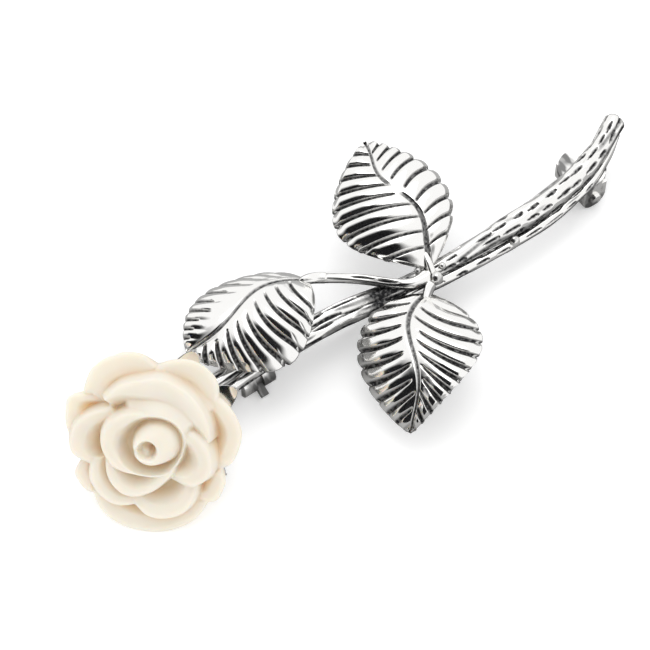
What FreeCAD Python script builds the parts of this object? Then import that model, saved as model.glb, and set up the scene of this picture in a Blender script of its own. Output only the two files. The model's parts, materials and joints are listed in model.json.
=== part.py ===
"""Rose brooch: a carved rose on a cast twig with three leaves, and a hinged pin with a roll-over catch on its back.

Row frame, in millimetres: +X runs along the pin from the rose towards the stem's cut end, +Y towards the leaf that
points away from the stem, +Z up, away from the clothes. The brooch lies on its back on the plane Z = 0.
Stations and places are measured from the catch's centre along X, from the pin's axis along Y, and up from a level
that lies back_z below the back plane.
"""
import FreeCAD, Part
import math
import os
from FreeCAD import Placement, Rotation, Vector

doc = FreeCAD.newDocument("rose_brooch")

# ---------------------------------------------------------------- driving dimensions
# alias, value, meaning
DIMENSIONS = (
    ("catch_x", -15.518, "catch centre along X"),
    ("pin_y", 1.032, "pin axis along Y"),
    ("pin_z", 2.0, "pin axis, measured up from the stations' own level"),
    ("back_z", 0.3, "back plane, measured up from the stations' own level"),
    ("pin_length", 48.2, "catch centre to rivet axis"),
    ("wire_radius", 0.45, "pin wire"),
    ("tip_radius", 0.1, "needle point"),
    ("tip_back", 1.7, "needle point beyond the catch centre"),
    ("needle_taper", 4.4, "length of the ground point"),
    ("knuckle_radius", 1.45, "pin's own knuckle"),
    ("knuckle_width", 2.42, "pin's own knuckle along the rivet"),
    ("knuckle_gap", 0.08, "side play between knuckle and ear"),
    ("ear_radius", 1.7, "rounded end of each ear"),
    ("ear_width", 1.5, "each ear along the rivet"),
    ("rivet_radius", 0.5, "rivet shank, a press fit in the ears"),
    ("rivet_play", 0.04, "radial play of the knuckle on the rivet"),
    ("rivet_head", 0.85, "domed head radius"),
    ("saddle_radius", 2.95, "round plate of the joint"),
    ("saddle_thick", 0.9, "plate of the joint, let into the stem"),
    ("saddle_z", 4.1, "underside of the joint's plate"),
    ("case_radius", 1.7, "catch case outside"),
    ("case_length", 4.2, "catch case along X"),
    ("case_wall", 0.95, "end wall of the case"),
    ("case_bore", 1.25, "bore that the tumbler turns in"),
    ("case_slot", 1.2, "way in for the pin"),
    ("end_hole", 0.65, "radius of the hole in each end wall"),
    ("window_width", 1.0, "window for the thumb tab, along X"),
    ("window_start", 113.0, "window's first edge, degrees from +Y to +Z"),
    ("window_span", 115.0, "window's sweep in degrees"),
    ("tumbler_radius", 1.2, "tumbler outside"),
    ("tumbler_length", 2.2, "tumbler along X"),
    ("tumbler_slot", 1.1, "slot in the tumbler"),
    ("tab_angle", 205.0, "thumb tab at rest, unlocked, degrees from +Y to +Z"),
    ("tab_width", 0.9, "thumb tab along X"),
    ("tab_thick", 0.8, "thumb tab across"),
    ("tab_reach", 2.7, "thumb tab tip from the pin axis"),
    ("post_width", 1.5, "catch base across"),
    ("post_y", 0.15, "catch base's middle from the pin axis"),
    ("rose_x", -13.18, "foot of the rose"),
    ("rose_y", -0.79, "foot of the rose"),
    ("rose_z", 3.85, "foot of the rose"),
    ("bowl_radius", 9.8, "sphere that the rose's underside follows"),
    ("bowl_height", 5.9, "foot to the petals' rim"),
    ("rose_height", 10.2, "foot to the bud's top"),
    ("bud_radius", 4.0, "where the dome meets the flat of the bud"),
    ("petal_count", 6, "outer petals"),
    ("petal_offset", 5.9, "petal centre from the rose's axis"),
    ("petal_reach", 4.3, "petal half length outwards"),
    ("petal_half_width", 4.8, "petal half width"),
    ("petal_half_height", 1.9, "petal half thickness"),
    ("petal_level", 6.4, "petal centre above the foot"),
    ("sepal_count", 7, "points of the sepal star"),
    ("sepal_thick", 0.5, "sepal sheet"),
    ("sepal_gap", 0.05, "cement gap under the rose"),
    ("sepal_tip", 9.4, "sepal point from the rose's axis"),
    ("sepal_root", 4.4, "notch between two sepals"),
    ("sepal_turn", 12.5, "degrees that the star is turned about the rose's axis"),
    ("peg_radius", 0.6, "peg that the rose is cemented on"),
    ("peg_length", 5.4, "peg"),
    ("peg_below", 1.2, "peg below the rose's foot"),
    ("hip_radius", 1.8, "rose hip under the sepals"),
    ("hip_drop", 0.9, "hip centre below the rose's foot"),
    ("leaf_width", 14.2, "leaf across"),
    ("leaf_thick", 0.8, "leaf sheet"),
    ("leaf_teeth", 10, "scallops on each margin"),
    ("leaf_tooth_bulge", 0.22, "height of one scallop"),
    ("bead_radius_small", 0.45, "bark granule"),
    ("bead_radius_large", 0.8, "bark granule"),
    ("thorn_radius", 0.75, "knot on the thinner twig"),
)

# Twigs as stations along their centrelines: x, y, z, radius.
TWIGS = {
    "stem": (
        (-12.6, -0.3, 3.3, 0.65),
        (-9.9, 0.1, 4.1, 0.95),
        (-6.6, 0.2, 4.8, 1.0),
        (1.7, 0.3, 5.5, 0.95),
        (12.0, -0.3, 5.7, 0.95),
        (20.0, -1.9, 6.0, 1.0),
        (28.0, -2.4, 6.1, 1.05),
        (38.5, -2.4, 6.2, 1.4),
        (45.5, -1.5, 6.2, 1.4),
        (50.5, 0.1, 6.2, 1.3),
        (55.6, 2.9, 6.3, 1.4),
    ),
    "twin": (
        (-9.4, -0.9, 3.7, 0.6),
        (-6.2, -1.2, 4.4, 0.8),
        (2.0, -1.1, 5.2, 0.85),
        (11.5, -1.5, 5.4, 0.85),
        (19.5, -2.8, 5.4, 0.8),
        (27.0, -3.6, 4.9, 0.7),
        (38.5, -3.9, 4.8, 0.62),
        (46.0, -2.9, 5.2, 0.58),
        (51.0, -0.9, 5.4, 0.55),
        (54.6, 1.4, 5.7, 0.5),
    ),
    "branch": (
        (23.0, -3.2, 7.1, 0.85),
        (19.9, -2.7, 7.3, 0.65),
        (15.6, 0.8, 7.8, 0.6),
        (11.5, 3.45, 8.35, 0.6),
    ),
}

# Leaves: foot on the stalk, where the tip points, roll about the midrib in degrees, the length, and the radii that
# the blade is bent to, along and across.
LEAVES = {
    "left_leaf": ((10.3, 3.6, 8.9), (-6.3, 4.0, 7.9), 14.0, 16.6, 18.0, 8.8),
    "upper_leaf": ((23.45, -2.2, 7.9), (27.0, 15.6, 9.5), 1.5, 18.4, 19.0, 13.0),
    "lower_leaf": ((21.3, -4.8, 7.1), (9.7, -17.3, 4.0), 15.0, 17.4, 13.0, 11.0),
}
LEAF_KEYS = ("length", "along", "across")

# Granules on the fork: x, y, z and which of the two sizes.
BEADS = ((24.9, -2.9, 7.1, "small"), (23.3, -3.9, 7.2, "large"), (22.1, -1.9, 7.2, "small"))

# The rose looks along this way, over the end of the stem.
ROSE_AXIS = Vector(-0.473, -0.532, 0.702)


def fill_sheet():
    """Writes every driving dimension into the spreadsheet, one row each."""
    rows = list(DIMENSIONS)
    for twig, stations in TWIGS.items():
        for number, station in enumerate(stations):
            for key, value in zip("xyzr", station):
                rows.append((f"{twig}{number}_{key}", value, f"{twig} station {number}"))
    for leaf, (foot, _tip, _roll, *sizes) in LEAVES.items():
        for key, value in zip("xyz", foot):
            rows.append((f"{leaf}_{key}", value, "foot of the leaf"))
        for key, value in zip(LEAF_KEYS, sizes):
            rows.append((f"{leaf}_{key}", value, f"{key} size of the blade"))
    for row, (alias, value, meaning) in enumerate(rows, start=1):
        made.set(f"A{row}", alias)
        made.set(f"B{row}", str(value))
        made.set(f"C{row}", meaning)
        made.setAlias(f"B{row}", alias)
    doc.recompute()


made = doc.addObject("Spreadsheet::Sheet", "Dim")
fill_sheet()


def cell(alias):
    """The value of a driving dimension."""
    return float(made.get(alias))


def place(thing, x="0", y="0", z="0", turn=Rotation()):
    """Places an object from the catch's centre, at the stations' level, by three expressions of the sheet."""
    thing.Placement = Placement(Vector(), turn)
    thing.setExpression("Placement.Base.x", f"Dim.catch_x + {x}")
    thing.setExpression("Placement.Base.y", f"Dim.pin_y + {y}")
    thing.setExpression("Placement.Base.z", f"{z} - Dim.back_z")
    return thing


def primitive(kind, name, **sizes):
    """A Part primitive whose sizes are expressions of the sheet."""
    thing = doc.addObject(f"Part::{kind}", name)
    for size, expression in sizes.items():
        thing.setExpression(size, expression)
    return thing


def at(thing, x="0", y="0", z="0", turn=Rotation()):
    """Places a tool in its own sub-part's frame, by three expressions of the sheet."""
    thing.Placement = Placement(Vector(), turn)
    thing.setExpression("Placement.Base.x", x)
    thing.setExpression("Placement.Base.y", y)
    thing.setExpression("Placement.Base.z", z)
    return thing


def cut(name, base, tool):
    """Part::Cut of two objects."""
    result = doc.addObject("Part::Cut", name)
    result.Base = base
    result.Tool = tool
    return result


def common(name, base, tool):
    """Part::Common of two objects."""
    result = doc.addObject("Part::Common", name)
    result.Base = base
    result.Tool = tool
    return result


def fuse(name, *shapes):
    """Part::MultiFuse of several objects."""
    result = doc.addObject("Part::MultiFuse", name)
    result.Shapes = list(shapes)
    result.Refine = True
    return result


def origin_plane(body, role):
    """One of a body's own origin planes."""
    return next(o for o in body.Origin.OriginFeatures if o.Role == role)


def sketch_on(body, role, name):
    """An empty sketch on one of the body's origin planes."""
    sketch = body.newObject("Sketcher::SketchObject", name)
    sketch.AttachmentSupport = [(origin_plane(body, role), "")]
    sketch.MapMode = "FlatFace"
    return sketch


def sketch_circle(body, role, name, radius):
    """A sketch of one circle about the origin, its radius bound to an expression."""
    sketch = sketch_on(body, role, name)
    sketch.addGeometry(Part.Circle(Vector(), Vector(0, 0, 1), 1.0), False)
    import Sketcher

    sketch.addConstraint(Sketcher.Constraint("Coincident", 0, 3, -1, 1))
    size = sketch.addConstraint(Sketcher.Constraint("Radius", 0, 1.0))
    sketch.renameConstraint(size, "radius")
    sketch.setExpression("Constraints.radius", radius)
    return sketch


ALONG_X = Rotation(Vector(0, 1, 0), 90)
ALONG_Y = Rotation(Vector(1, 0, 0), -90)


# ---------------------------------------------------------------- twigs
def twig_loft(twig):
    """A solid loft through round sections square to the twig's centreline."""
    stations = TWIGS[twig]
    sections = []
    for number in range(len(stations)):
        before = Vector(*stations[max(number - 1, 0)][:3])
        after = Vector(*stations[min(number + 1, len(stations) - 1)][:3])
        ahead = (after - before).normalize()
        side = Vector(0, 0, 1).cross(ahead).normalize()
        section = primitive("Circle", f"{twig}_section{number}", Radius=f"Dim.{twig}{number}_r")
        place(
            section,
            f"Dim.{twig}{number}_x",
            f"Dim.{twig}{number}_y",
            f"Dim.{twig}{number}_z",
            Rotation(side, ahead.cross(side), ahead),
        )
        sections.append(section)
    loft = doc.addObject("Part::Loft", f"{twig}_loft")
    loft.Sections = sections
    loft.Solid = True
    return loft


# ---------------------------------------------------------------- leaves
def leaf_margin(share):
    """Half width of the blade, as a share of its widest, at a share of its length: round foot, pointed tip."""
    return math.sin(math.pi * share**0.82) ** 0.8


def leaf_outline(name):
    """The scalloped outline of a blade seen from above, foot at the origin and tip along +X."""
    length, half = cell(f"{name}_length"), cell("leaf_width") / 2
    teeth, bulge = int(cell("leaf_teeth")), cell("leaf_tooth_bulge")
    foot_share = 0.03
    shares = [foot_share + (1 - foot_share) * number / teeth for number in range(teeth + 1)]
    edges = []
    for side in (1, -1):
        margin = [Vector(length * s, side * half * leaf_margin(min(s, 0.995)), 0) for s in shares]
        margin[-1] = Vector(length, 0, 0)
        for first, last in zip(margin, margin[1:]):
            chord = last - first
            outwards = Vector(-chord.y, chord.x, 0).normalize() * side
            crown = (first + last) / 2 + outwards * bulge
            edges.append(Part.Arc(first, crown, last).toShape())
    edges.append(Part.LineSegment(edges[0].Vertexes[0].Point, edges[teeth].Vertexes[0].Point).toShape())
    outline = doc.addObject("Part::Feature", f"{name}_outline")
    outline.Shape = Part.Face(Part.Wire(Part.__sortEdges__(edges)))
    return outline


def leaf(name):
    """A thin blade bent along its midrib and across it: an outline's prism met with the top of an egg-shaped sheet."""
    foot, tip, roll = LEAVES[name][:3]
    prism = doc.addObject("Part::Extrusion", f"{name}_prism")
    prism.Base = leaf_outline(name)
    prism.DirMode = "Custom"
    prism.Dir = Vector(0, 0, 1)
    prism.setExpression("LengthFwd", f"Dim.{name}_length")
    prism.setExpression("LengthRev", f"Dim.{name}_length")
    prism.Solid = True
    along, across = f"Dim.{name}_along", f"Dim.{name}_across"
    length = f"Dim.{name}_length"
    level = f"-{across} * sqrt(1 - pow({length} / 2; 2) / ({along} * {across}))"
    crown, hollow = (
        at(
            primitive(
                "Ellipsoid",
                f"{name}_{skin}",
                Radius1=f"{across} - {depth}",
                Radius2=f"sqrt({along} * {across}) - {depth}",
                Radius3=f"{across} - {depth}",
            ),
            f"{length} / 2",
            "0",
            level,
        )
        for skin, depth in (("crown", "0"), ("hollow", "Dim.leaf_thick"))
    )
    upper_half = primitive("Box", f"{name}_upper", Length=length, Width="2 * Dim.leaf_width", Height=along)
    at(upper_half, "0", "-Dim.leaf_width", level)
    sheet = cut(f"{name}_sheet", crown, hollow)
    blade = common(f"{name}_blade", common(f"{name}_cap", sheet, upper_half), prism)
    ahead = (Vector(*tip) - Vector(*foot)).normalize()
    left = Vector(0, 0, 1).cross(ahead).normalize()
    turn = Rotation(Vector(1, 0, 0), roll)
    aim = Rotation(ahead, left, ahead.cross(left))
    return place(blade, f"Dim.{name}_x", f"Dim.{name}_y", f"Dim.{name}_z", aim.multiply(turn))


# ---------------------------------------------------------------- rose, sepals and hip
ROSE_TURN = Rotation(Vector(0, 0, 1), ROSE_AXIS)


def on_rose(thing):
    """Places a sub-part that was made about the rose's own axis."""
    return place(thing, "Dim.rose_x", "Dim.rose_y", "Dim.rose_z", ROSE_TURN)


def rose_core():
    """Turned blank of the rose: a round bowl below the rim and a low dome above it."""
    rim, top, flat = cell("bowl_height"), cell("rose_height"), cell("bud_radius")
    bowl = cell("bowl_radius")
    rim_radius = math.sqrt(bowl**2 - (bowl - rim) ** 2)
    quarter = bowl * math.sin(math.pi / 6)
    on_bowl = Vector(quarter, 0, bowl - bowl * math.cos(math.pi / 6))
    foot, edge = Vector(0, 0, 0), Vector(rim_radius, 0, rim)
    shoulder = Vector((rim_radius + flat) / 2 + 0.8, 0, (rim + top) / 2 + 0.5)
    crown, centre = Vector(flat, 0, top), Vector(0, 0, top)
    profile = Part.Wire(
        [
            Part.Arc(foot, on_bowl, edge).toShape(),
            Part.Arc(edge, shoulder, crown).toShape(),
            Part.LineSegment(crown, centre).toShape(),
            Part.LineSegment(centre, foot).toShape(),
        ]
    )
    core = doc.addObject("Part::Feature", "rose_core")
    core.Shape = Part.Face(profile).revolve(Vector(), Vector(0, 0, 1), 360)
    return core


def outer_petal(number):
    """One broad outer petal, an ellipsoid set round the rose's axis."""
    petal = primitive(
        "Ellipsoid",
        f"petal{number}",
        Radius1="Dim.petal_half_height",
        Radius2="Dim.petal_reach",
        Radius3="Dim.petal_half_width",
    )
    step = math.radians(number * 360 / cell("petal_count"))
    turn = Rotation(Vector(0, 0, 1), math.degrees(step))
    return at(
        petal, f"Dim.petal_offset * {math.cos(step)}", f"Dim.petal_offset * {math.sin(step)}", "Dim.petal_level", turn
    )


def rose_peg():
    """Peg that stands through the sepal star into the rose."""
    return at(
        primitive("Cylinder", "peg_tool", Radius="Dim.peg_radius", Height="Dim.peg_length"), "0", "0", "-Dim.peg_below"
    )


def rose_head(peg):
    """Carved rose with its blind hole for the peg."""
    petals = [outer_petal(number) for number in range(int(cell("petal_count")))]
    return on_rose(cut("rose_carving", fuse("rose_blank", rose_core(), *petals), peg))


def star_prism():
    """A star-shaped prism about the rose's axis, whose points give the sepals."""
    count, tip, root = int(cell("sepal_count")), cell("sepal_tip"), cell("sepal_root")
    edges = []
    for number in range(count):
        turns = [math.radians(cell("sepal_turn")) + math.tau * (number + share) / count for share in (0, 0.5, 1)]
        middle = Vector(math.cos(turns[1]), math.sin(turns[1]), 0)
        point = middle * tip
        first = Vector(math.cos(turns[0]), math.sin(turns[0]), 0) * root
        last = Vector(math.cos(turns[2]), math.sin(turns[2]), 0) * root
        for a, b in ((first, point), (point, last)):
            bulge = (a + b) / 2 * 1.06
            edges.append(Part.Arc(a, bulge, b).toShape())
    star = doc.addObject("Part::Feature", "sepal_outline")
    star.Shape = Part.Face(Part.Wire(edges))
    prism = doc.addObject("Part::Extrusion", "sepal_prism")
    prism.Base = star
    prism.DirMode = "Custom"
    prism.Dir = Vector(0, 0, 1)
    prism.setExpression("LengthFwd", "Dim.bowl_height - 1.0")
    prism.setExpression("LengthRev", "2 * Dim.hip_drop")
    prism.Solid = True
    return prism


def bowl_sphere(name, grown):
    """The sphere of the rose's underside, grown by an expression."""
    return at(primitive("Sphere", name, Radius=f"Dim.bowl_radius + {grown}"), "0", "0", "Dim.bowl_radius")


def sepal_star(peg):
    """Star of sepals domed to the rose's underside, pierced for the peg."""
    outer = bowl_sphere("sepal_outer", "Dim.sepal_gap + Dim.sepal_thick")
    inner = bowl_sphere("sepal_inner", "Dim.sepal_gap")
    star = common("sepal_sheet", cut("sepal_bowl", outer, inner), star_prism())
    return on_rose(cut("sepal_pierced", star, peg))


def calyx_hip(peg):
    """Rose hip that joins the sepal star to the stem."""
    ball = at(primitive("Sphere", "hip_ball", Radius="Dim.hip_radius"), "0", "0", "-Dim.hip_drop")
    under = bowl_sphere("hip_seat", "Dim.sepal_gap + Dim.sepal_thick")
    return on_rose(cut("hip_pierced", cut("hip_seated", ball, under), peg))


# ---------------------------------------------------------------- joint at the stem's end
def pin_stem():
    """Pin: a ground needle with a drilled knuckle at its end. Made with its rivet axis at its own origin."""
    body = doc.addObject("PartDesign::Body", "pin_body")
    wire, tip, taper = cell("wire_radius"), cell("tip_radius"), cell("needle_taper")
    reach = cell("pin_length") + cell("tip_back")
    profile = sketch_on(body, "XZ_Plane", "needle_profile")
    corners = [
        Vector(0, 0, 0),
        Vector(0, wire, 0),
        Vector(-reach + taper, wire, 0),
        Vector(-reach, tip, 0),
        Vector(-reach, 0, 0),
    ]
    for first, last in zip(corners, corners[1:] + corners[:1]):
        profile.addGeometry(Part.LineSegment(first, last), False)
    bind_needle(profile)
    needle = body.newObject("PartDesign::Revolution", "needle")
    needle.Profile = profile
    needle.ReferenceAxis = (profile, ["H_Axis"])
    needle.Angle = 360
    doc.recompute()
    knuckle = body.newObject("PartDesign::Pad", "knuckle")
    knuckle.Profile = sketch_circle(body, "XZ_Plane", "knuckle_circle", "Dim.knuckle_radius")
    knuckle.Midplane = True
    knuckle.setExpression("Length", "Dim.knuckle_width")
    doc.recompute()
    bore = body.newObject("PartDesign::Pocket", "knuckle_bore")
    bore.Profile = sketch_circle(body, "XZ_Plane", "bore_circle", "Dim.rivet_radius + Dim.rivet_play")
    bore.Midplane = True
    bore.setExpression("Length", "2 * Dim.knuckle_width")
    doc.recompute()
    return place(body, "Dim.pin_length", "0", "Dim.pin_z")


def bind_needle(profile):
    """Constrains the needle's five-sided half profile and binds its sizes."""
    import Sketcher

    constraint = Sketcher.Constraint
    for number in range(5):
        profile.addConstraint(constraint("Coincident", number, 2, (number + 1) % 5, 1))
    profile.addConstraint(constraint("Coincident", 0, 1, -1, 1))
    for number, way in ((0, "Vertical"), (1, "Horizontal"), (3, "Vertical"), (4, "Horizontal")):
        profile.addConstraint(constraint(way, number))
    sizes = (
        ("wire", constraint("DistanceY", 0, 1, 0, 2, 1.0), "Dim.wire_radius"),
        ("tip", constraint("DistanceY", 3, 2, 3, 1, 1.0), "Dim.tip_radius"),
        ("taper", constraint("DistanceX", 2, 2, 2, 1, 1.0), "Dim.needle_taper"),
        ("reach", constraint("DistanceX", 4, 1, 4, 2, 1.0), "Dim.pin_length + Dim.tip_back"),
    )
    for name, size, expression in sizes:
        profile.renameConstraint(profile.addConstraint(size), name)
        profile.setExpression(f"Constraints.{name}", expression)


def hinge_ear(side):
    """One ear: a rounded plate that hangs from the saddle beside the knuckle."""
    name = "ear_a" if side < 0 else "ear_b"
    start = "Dim.knuckle_width / 2 + Dim.knuckle_gap" if side > 0 else (
        "-(Dim.knuckle_width / 2 + Dim.knuckle_gap + Dim.ear_width)"
    )
    disc = primitive("Cylinder", f"{name}_round", Radius="Dim.ear_radius", Height="Dim.ear_width")
    at(disc, "0", start, "0", ALONG_Y)
    web = primitive(
        "Box", f"{name}_web", Length="2 * Dim.ear_radius", Width="Dim.ear_width", Height="Dim.saddle_z - Dim.pin_z"
    )
    at(web, "-Dim.ear_radius", start, "0")
    return disc, web


def hinge_saddle(stem, twin):
    """Joint: a plate soldered under the stem, with an ear on each side of the pin's knuckle."""
    half = "(Dim.knuckle_width / 2 + Dim.knuckle_gap + Dim.ear_width)"
    plate = primitive("Cylinder", "saddle_plate", Radius="Dim.saddle_radius", Height="Dim.saddle_thick")
    at(plate, "0", "0", "Dim.saddle_z - Dim.pin_z")
    solid = fuse("saddle_solid", plate, *hinge_ear(-1), *hinge_ear(1))
    hole = primitive("Cylinder", "rivet_hole", Radius="Dim.rivet_radius", Height=f"2 * {half}")
    at(hole, "0", f"-{half}", "0", ALONG_Y)
    drilled = place(cut("saddle_drilled", solid, hole), "Dim.pin_length", "0", "Dim.pin_z")
    return cut("saddle_fitted", drilled, fuse("stem_pair", stem, twin))


def hinge_rivet():
    """Rivet with a domed head at each end, turned about its own axis."""
    half = cell("knuckle_width") / 2 + cell("knuckle_gap") + cell("ear_width")
    shank = primitive("Cylinder", "rivet_shank", Radius="Dim.rivet_radius")
    shank.Height = 2 * half
    at(shank, "0", str(-half), "0", ALONG_Y)
    heads = []
    for side in (-1, 1):
        dome = at(primitive("Sphere", f"rivet_dome{side + 1}", Radius="Dim.rivet_head"), "0", str(side * half), "0")
        outside = primitive("Box", f"rivet_side{side + 1}", Length="2", Width="Dim.rivet_head * 0.6", Height="2")
        at(outside, "-1", str(half) if side > 0 else f"{-half} - Dim.rivet_head * 0.6", "-1")
        heads.append(common(f"rivet_head{side + 1}", dome, outside))
    return place(fuse("rivet", shank, *heads), "Dim.pin_length", "0", "Dim.pin_z")


# ---------------------------------------------------------------- roll-over catch
def case_bar(name, radius, length):
    """A cylinder along X about the pin axis, centred on the catch."""
    return at(primitive("Cylinder", name, Radius=radius, Height=length), f"-({length}) / 2", "0", "0", ALONG_X)


def catch_case():
    """Case of the catch: a drum with a cavity for the tumbler, a way in for the pin and a window for the tab."""
    drum = case_bar("case_drum", "Dim.case_radius", "Dim.case_length")
    cavity = case_bar("case_cavity", "Dim.case_bore", "Dim.case_length - 2 * Dim.case_wall")
    through = case_bar("case_through", "Dim.end_hole", "2 * Dim.case_length")
    way_in = primitive("Box", "case_way_in", Length="2 * Dim.case_length", Width="Dim.case_slot", Height="3")
    at(way_in, "-Dim.case_length", "-Dim.case_slot / 2", "-3")
    window = primitive(
        "Cylinder", "case_window", Radius="2 * Dim.case_radius", Height="Dim.window_width", Angle="Dim.window_span"
    )
    # A turned cylinder's own X axis points down, so its sweep starts a quarter turn after +Y.
    start = Rotation(Vector(1, 0, 0), cell("window_start") + 90).multiply(ALONG_X)
    at(window, "-Dim.window_width / 2", "0", "0", start)
    case = cut("case_shell", drum, fuse("case_tools", cavity, through, way_in, window))
    return place(case, "0", "0", "Dim.pin_z")


def catch_tumbler():
    """Tumbler: turns in the case about the pin. Its slot meets the case's way in at rest, and its tab is unlocked."""
    drum = case_bar("tumbler_drum", "Dim.tumbler_radius", "Dim.tumbler_length")
    tab = primitive("Box", "tumbler_tab", Length="Dim.tab_width", Width="Dim.tab_reach", Height="Dim.tab_thick")
    tab_turn = Rotation(Vector(1, 0, 0), cell("tab_angle"))
    offset = tab_turn.multVec(Vector(0, 0, -cell("tab_thick") / 2))
    at(tab, "-Dim.tab_width / 2", str(offset.y), str(offset.z), tab_turn)
    seat = case_bar("tumbler_seat", "Dim.tumbler_slot / 2", "2 * Dim.tumbler_length")
    slot = primitive("Box", "tumbler_slot_cut", Length="2 * Dim.tumbler_length", Width="Dim.tumbler_slot", Height="3")
    at(slot, "-Dim.tumbler_length", "-Dim.tumbler_slot / 2", "-3")
    solid = fuse("tumbler_solid", drum, tab)
    return place(cut("tumbler", solid, fuse("tumbler_tools", seat, slot)), "0", "0", "Dim.pin_z")


def catch_base(stem, twin, case):
    """Post of the catch, soldered under the stem and on top of the case."""
    post = primitive("Box", "post_block", Length="Dim.case_length - 0.6", Width="Dim.post_width", Height="4")
    place(post, "-(Dim.case_length - 0.6) / 2", "Dim.post_y - Dim.post_width / 2", "Dim.pin_z + Dim.case_bore")
    drum = place(case_bar("post_seat", "Dim.case_radius", "2 * Dim.case_length"), "-Dim.case_length", "0", "Dim.pin_z")
    drum.Placement = Placement(Vector(), ALONG_X)
    level = primitive("Box", "post_level", Length="8", Width="8", Height="4")
    place(level, "-4", "-4", "Dim.stem3_z + 0.1")
    rest = fuse("post_tools", drum, level, stem, twin)
    return cut("post", post, rest)


# ---------------------------------------------------------------- fork of the twigs
def stalk(name, start, end, foot_radius, head_radius):
    """A short tapered stalk between two points, measured as the stations are."""
    first, last = Vector(*start), Vector(*end)
    cone = doc.addObject("Part::Cone", name)
    cone.Radius1 = foot_radius
    cone.Radius2 = head_radius
    cone.Height = (last - first).Length
    return place(cone, str(start[0]), str(start[1]), str(start[2]), Rotation(Vector(0, 0, 1), last - first))


def granule(name, middle, radius):
    """A ball of metal whose middle is given as the stations are."""
    return place(primitive("Sphere", name, Radius=f"Dim.{radius}"), *map(str, middle))


def fork_beads():
    """Bark granules that sit on the fork."""
    balls = [granule(f"bead{number}", bead[:3], f"bead_radius_{bead[3]}") for number, bead in enumerate(BEADS)]
    group = doc.addObject("Part::Compound", "bead_group")
    group.Links = balls
    return group


def label(node, thing):
    """Names a finished sub-part."""
    thing.Label = node
    subparts.append(thing)
    return thing


subparts = []


def build():
    """Makes every sub-part. A piece that is soldered on later is cut to fit what was there before it."""
    peg = rose_peg()
    hip = label("calyx_hip", calyx_hip(peg))
    star = label("sepal_star", sepal_star(peg))
    label("rose_head", rose_head(peg))
    peg_piece = doc.addObject("Part::Compound", "peg_piece")
    peg_piece.Links = [peg]
    label("rose_peg", on_rose(peg_piece))

    stem = label("main_stem", cut("stem_fitted", twig_loft("stem"), fuse("calyx_tools", hip, star, peg_piece)))
    twin = label("twin_twig", cut("twin_fitted", twig_loft("twin"), fuse("twin_tools", hip, star, stem)))
    leaves = {name: label(name, leaf(name)) for name in LEAVES}
    branch_tools = fuse("branch_tools", stem, twin, leaves["left_leaf"])
    branch = label("leaf_branch", cut("branch_fitted", twig_loft("branch"), branch_tools))
    label("pin_stem", pin_stem())
    label("hinge_saddle", hinge_saddle(stem, twin))
    label("hinge_rivet", hinge_rivet())
    case = label("catch_case", catch_case())
    label("catch_tumbler", catch_tumbler())
    label("catch_base", catch_base(stem, twin, case))

    twigs = (stem, twin, branch)
    collar = stalk("collar_cone", (11.6, 3.4, 8.33), (10.1, 3.75, 8.6), 0.8, 0.95)
    label("left_leaf_collar", cut("collar_fitted", collar, fuse("collar_tools", branch, leaves["left_leaf"])))
    thorn = granule("thorn_ball", (34.8, -3.9, 5.3), "thorn_radius")
    label("twig_thorn", cut("thorn_fitted", thorn, fuse("thorn_tools", stem, twin)))
    upper = stalk("upper_stalk_cone", (24.0, -2.7, 6.5), (23.5, -1.3, 7.7), 0.9, 0.8)
    lower = stalk("lower_stalk_cone", (22.4, -3.0, 6.0), (21.3, -5.0, 6.6), 1.0, 1.2)
    upper_tools = fuse("upper_tools", *twigs, leaves["upper_leaf"])
    upper_stalk = label("upper_leaf_stalk", cut("upper_stalk_fitted", upper, upper_tools))
    lower_tools = fuse("lower_tools", *twigs, leaves["lower_leaf"])
    lower_stalk = label("lower_leaf_stalk", cut("lower_stalk_fitted", lower, lower_tools))
    bead_tools = fuse("bead_tools", *twigs, upper_stalk, lower_stalk)
    label("fork_beads", cut("beads_fitted", fork_beads(), bead_tools))


def check():
    """Stops on any object that failed, or a sub-part that isn't a valid solid."""
    doc.recompute()
    for thing in doc.Objects:
        if {"Invalid", "Error"} & set(thing.State):
            raise SystemExit(f"{thing.Name} failed: {thing.State}")
    for thing in subparts:
        shape = thing.Shape
        if shape.isNull() or not shape.isValid() or not shape.Solids:
            raise SystemExit(f"{thing.Label} is not a valid solid")


def write():
    """Writes each sub-part's STEP file and prints its size."""
    os.makedirs("parts", exist_ok=True)
    whole = FreeCAD.BoundBox()
    for thing in subparts:
        thing.Shape.exportStep(f"parts/{thing.Label}.step")
        box = thing.Shape.optimalBoundingBox(False)
        whole.add(box)
        print(f"{thing.Label:18s} {len(thing.Shape.Solids)} solid(s) {thing.Shape.Volume:9.2f} mm3  {box}")
    print("whole", whole)


build()
check()
write()
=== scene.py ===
"""Looks of the rose brooch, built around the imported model.

Shapes are worked out in millimetres from the centre of the safety catch, as the part's stations are, and
turned into the row's metres when a mesh is made. A height in the row is 0.3 mm less than by the stations.
"""

import json
import math

import bpy
import numpy as np
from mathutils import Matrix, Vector


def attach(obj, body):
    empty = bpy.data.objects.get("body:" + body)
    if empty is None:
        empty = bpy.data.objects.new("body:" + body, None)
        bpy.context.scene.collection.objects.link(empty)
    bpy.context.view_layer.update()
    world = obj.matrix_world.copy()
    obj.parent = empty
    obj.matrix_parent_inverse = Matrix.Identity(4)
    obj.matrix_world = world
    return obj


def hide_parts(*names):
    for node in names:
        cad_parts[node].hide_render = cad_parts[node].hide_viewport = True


MM = 0.001
SEED = 7

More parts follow.
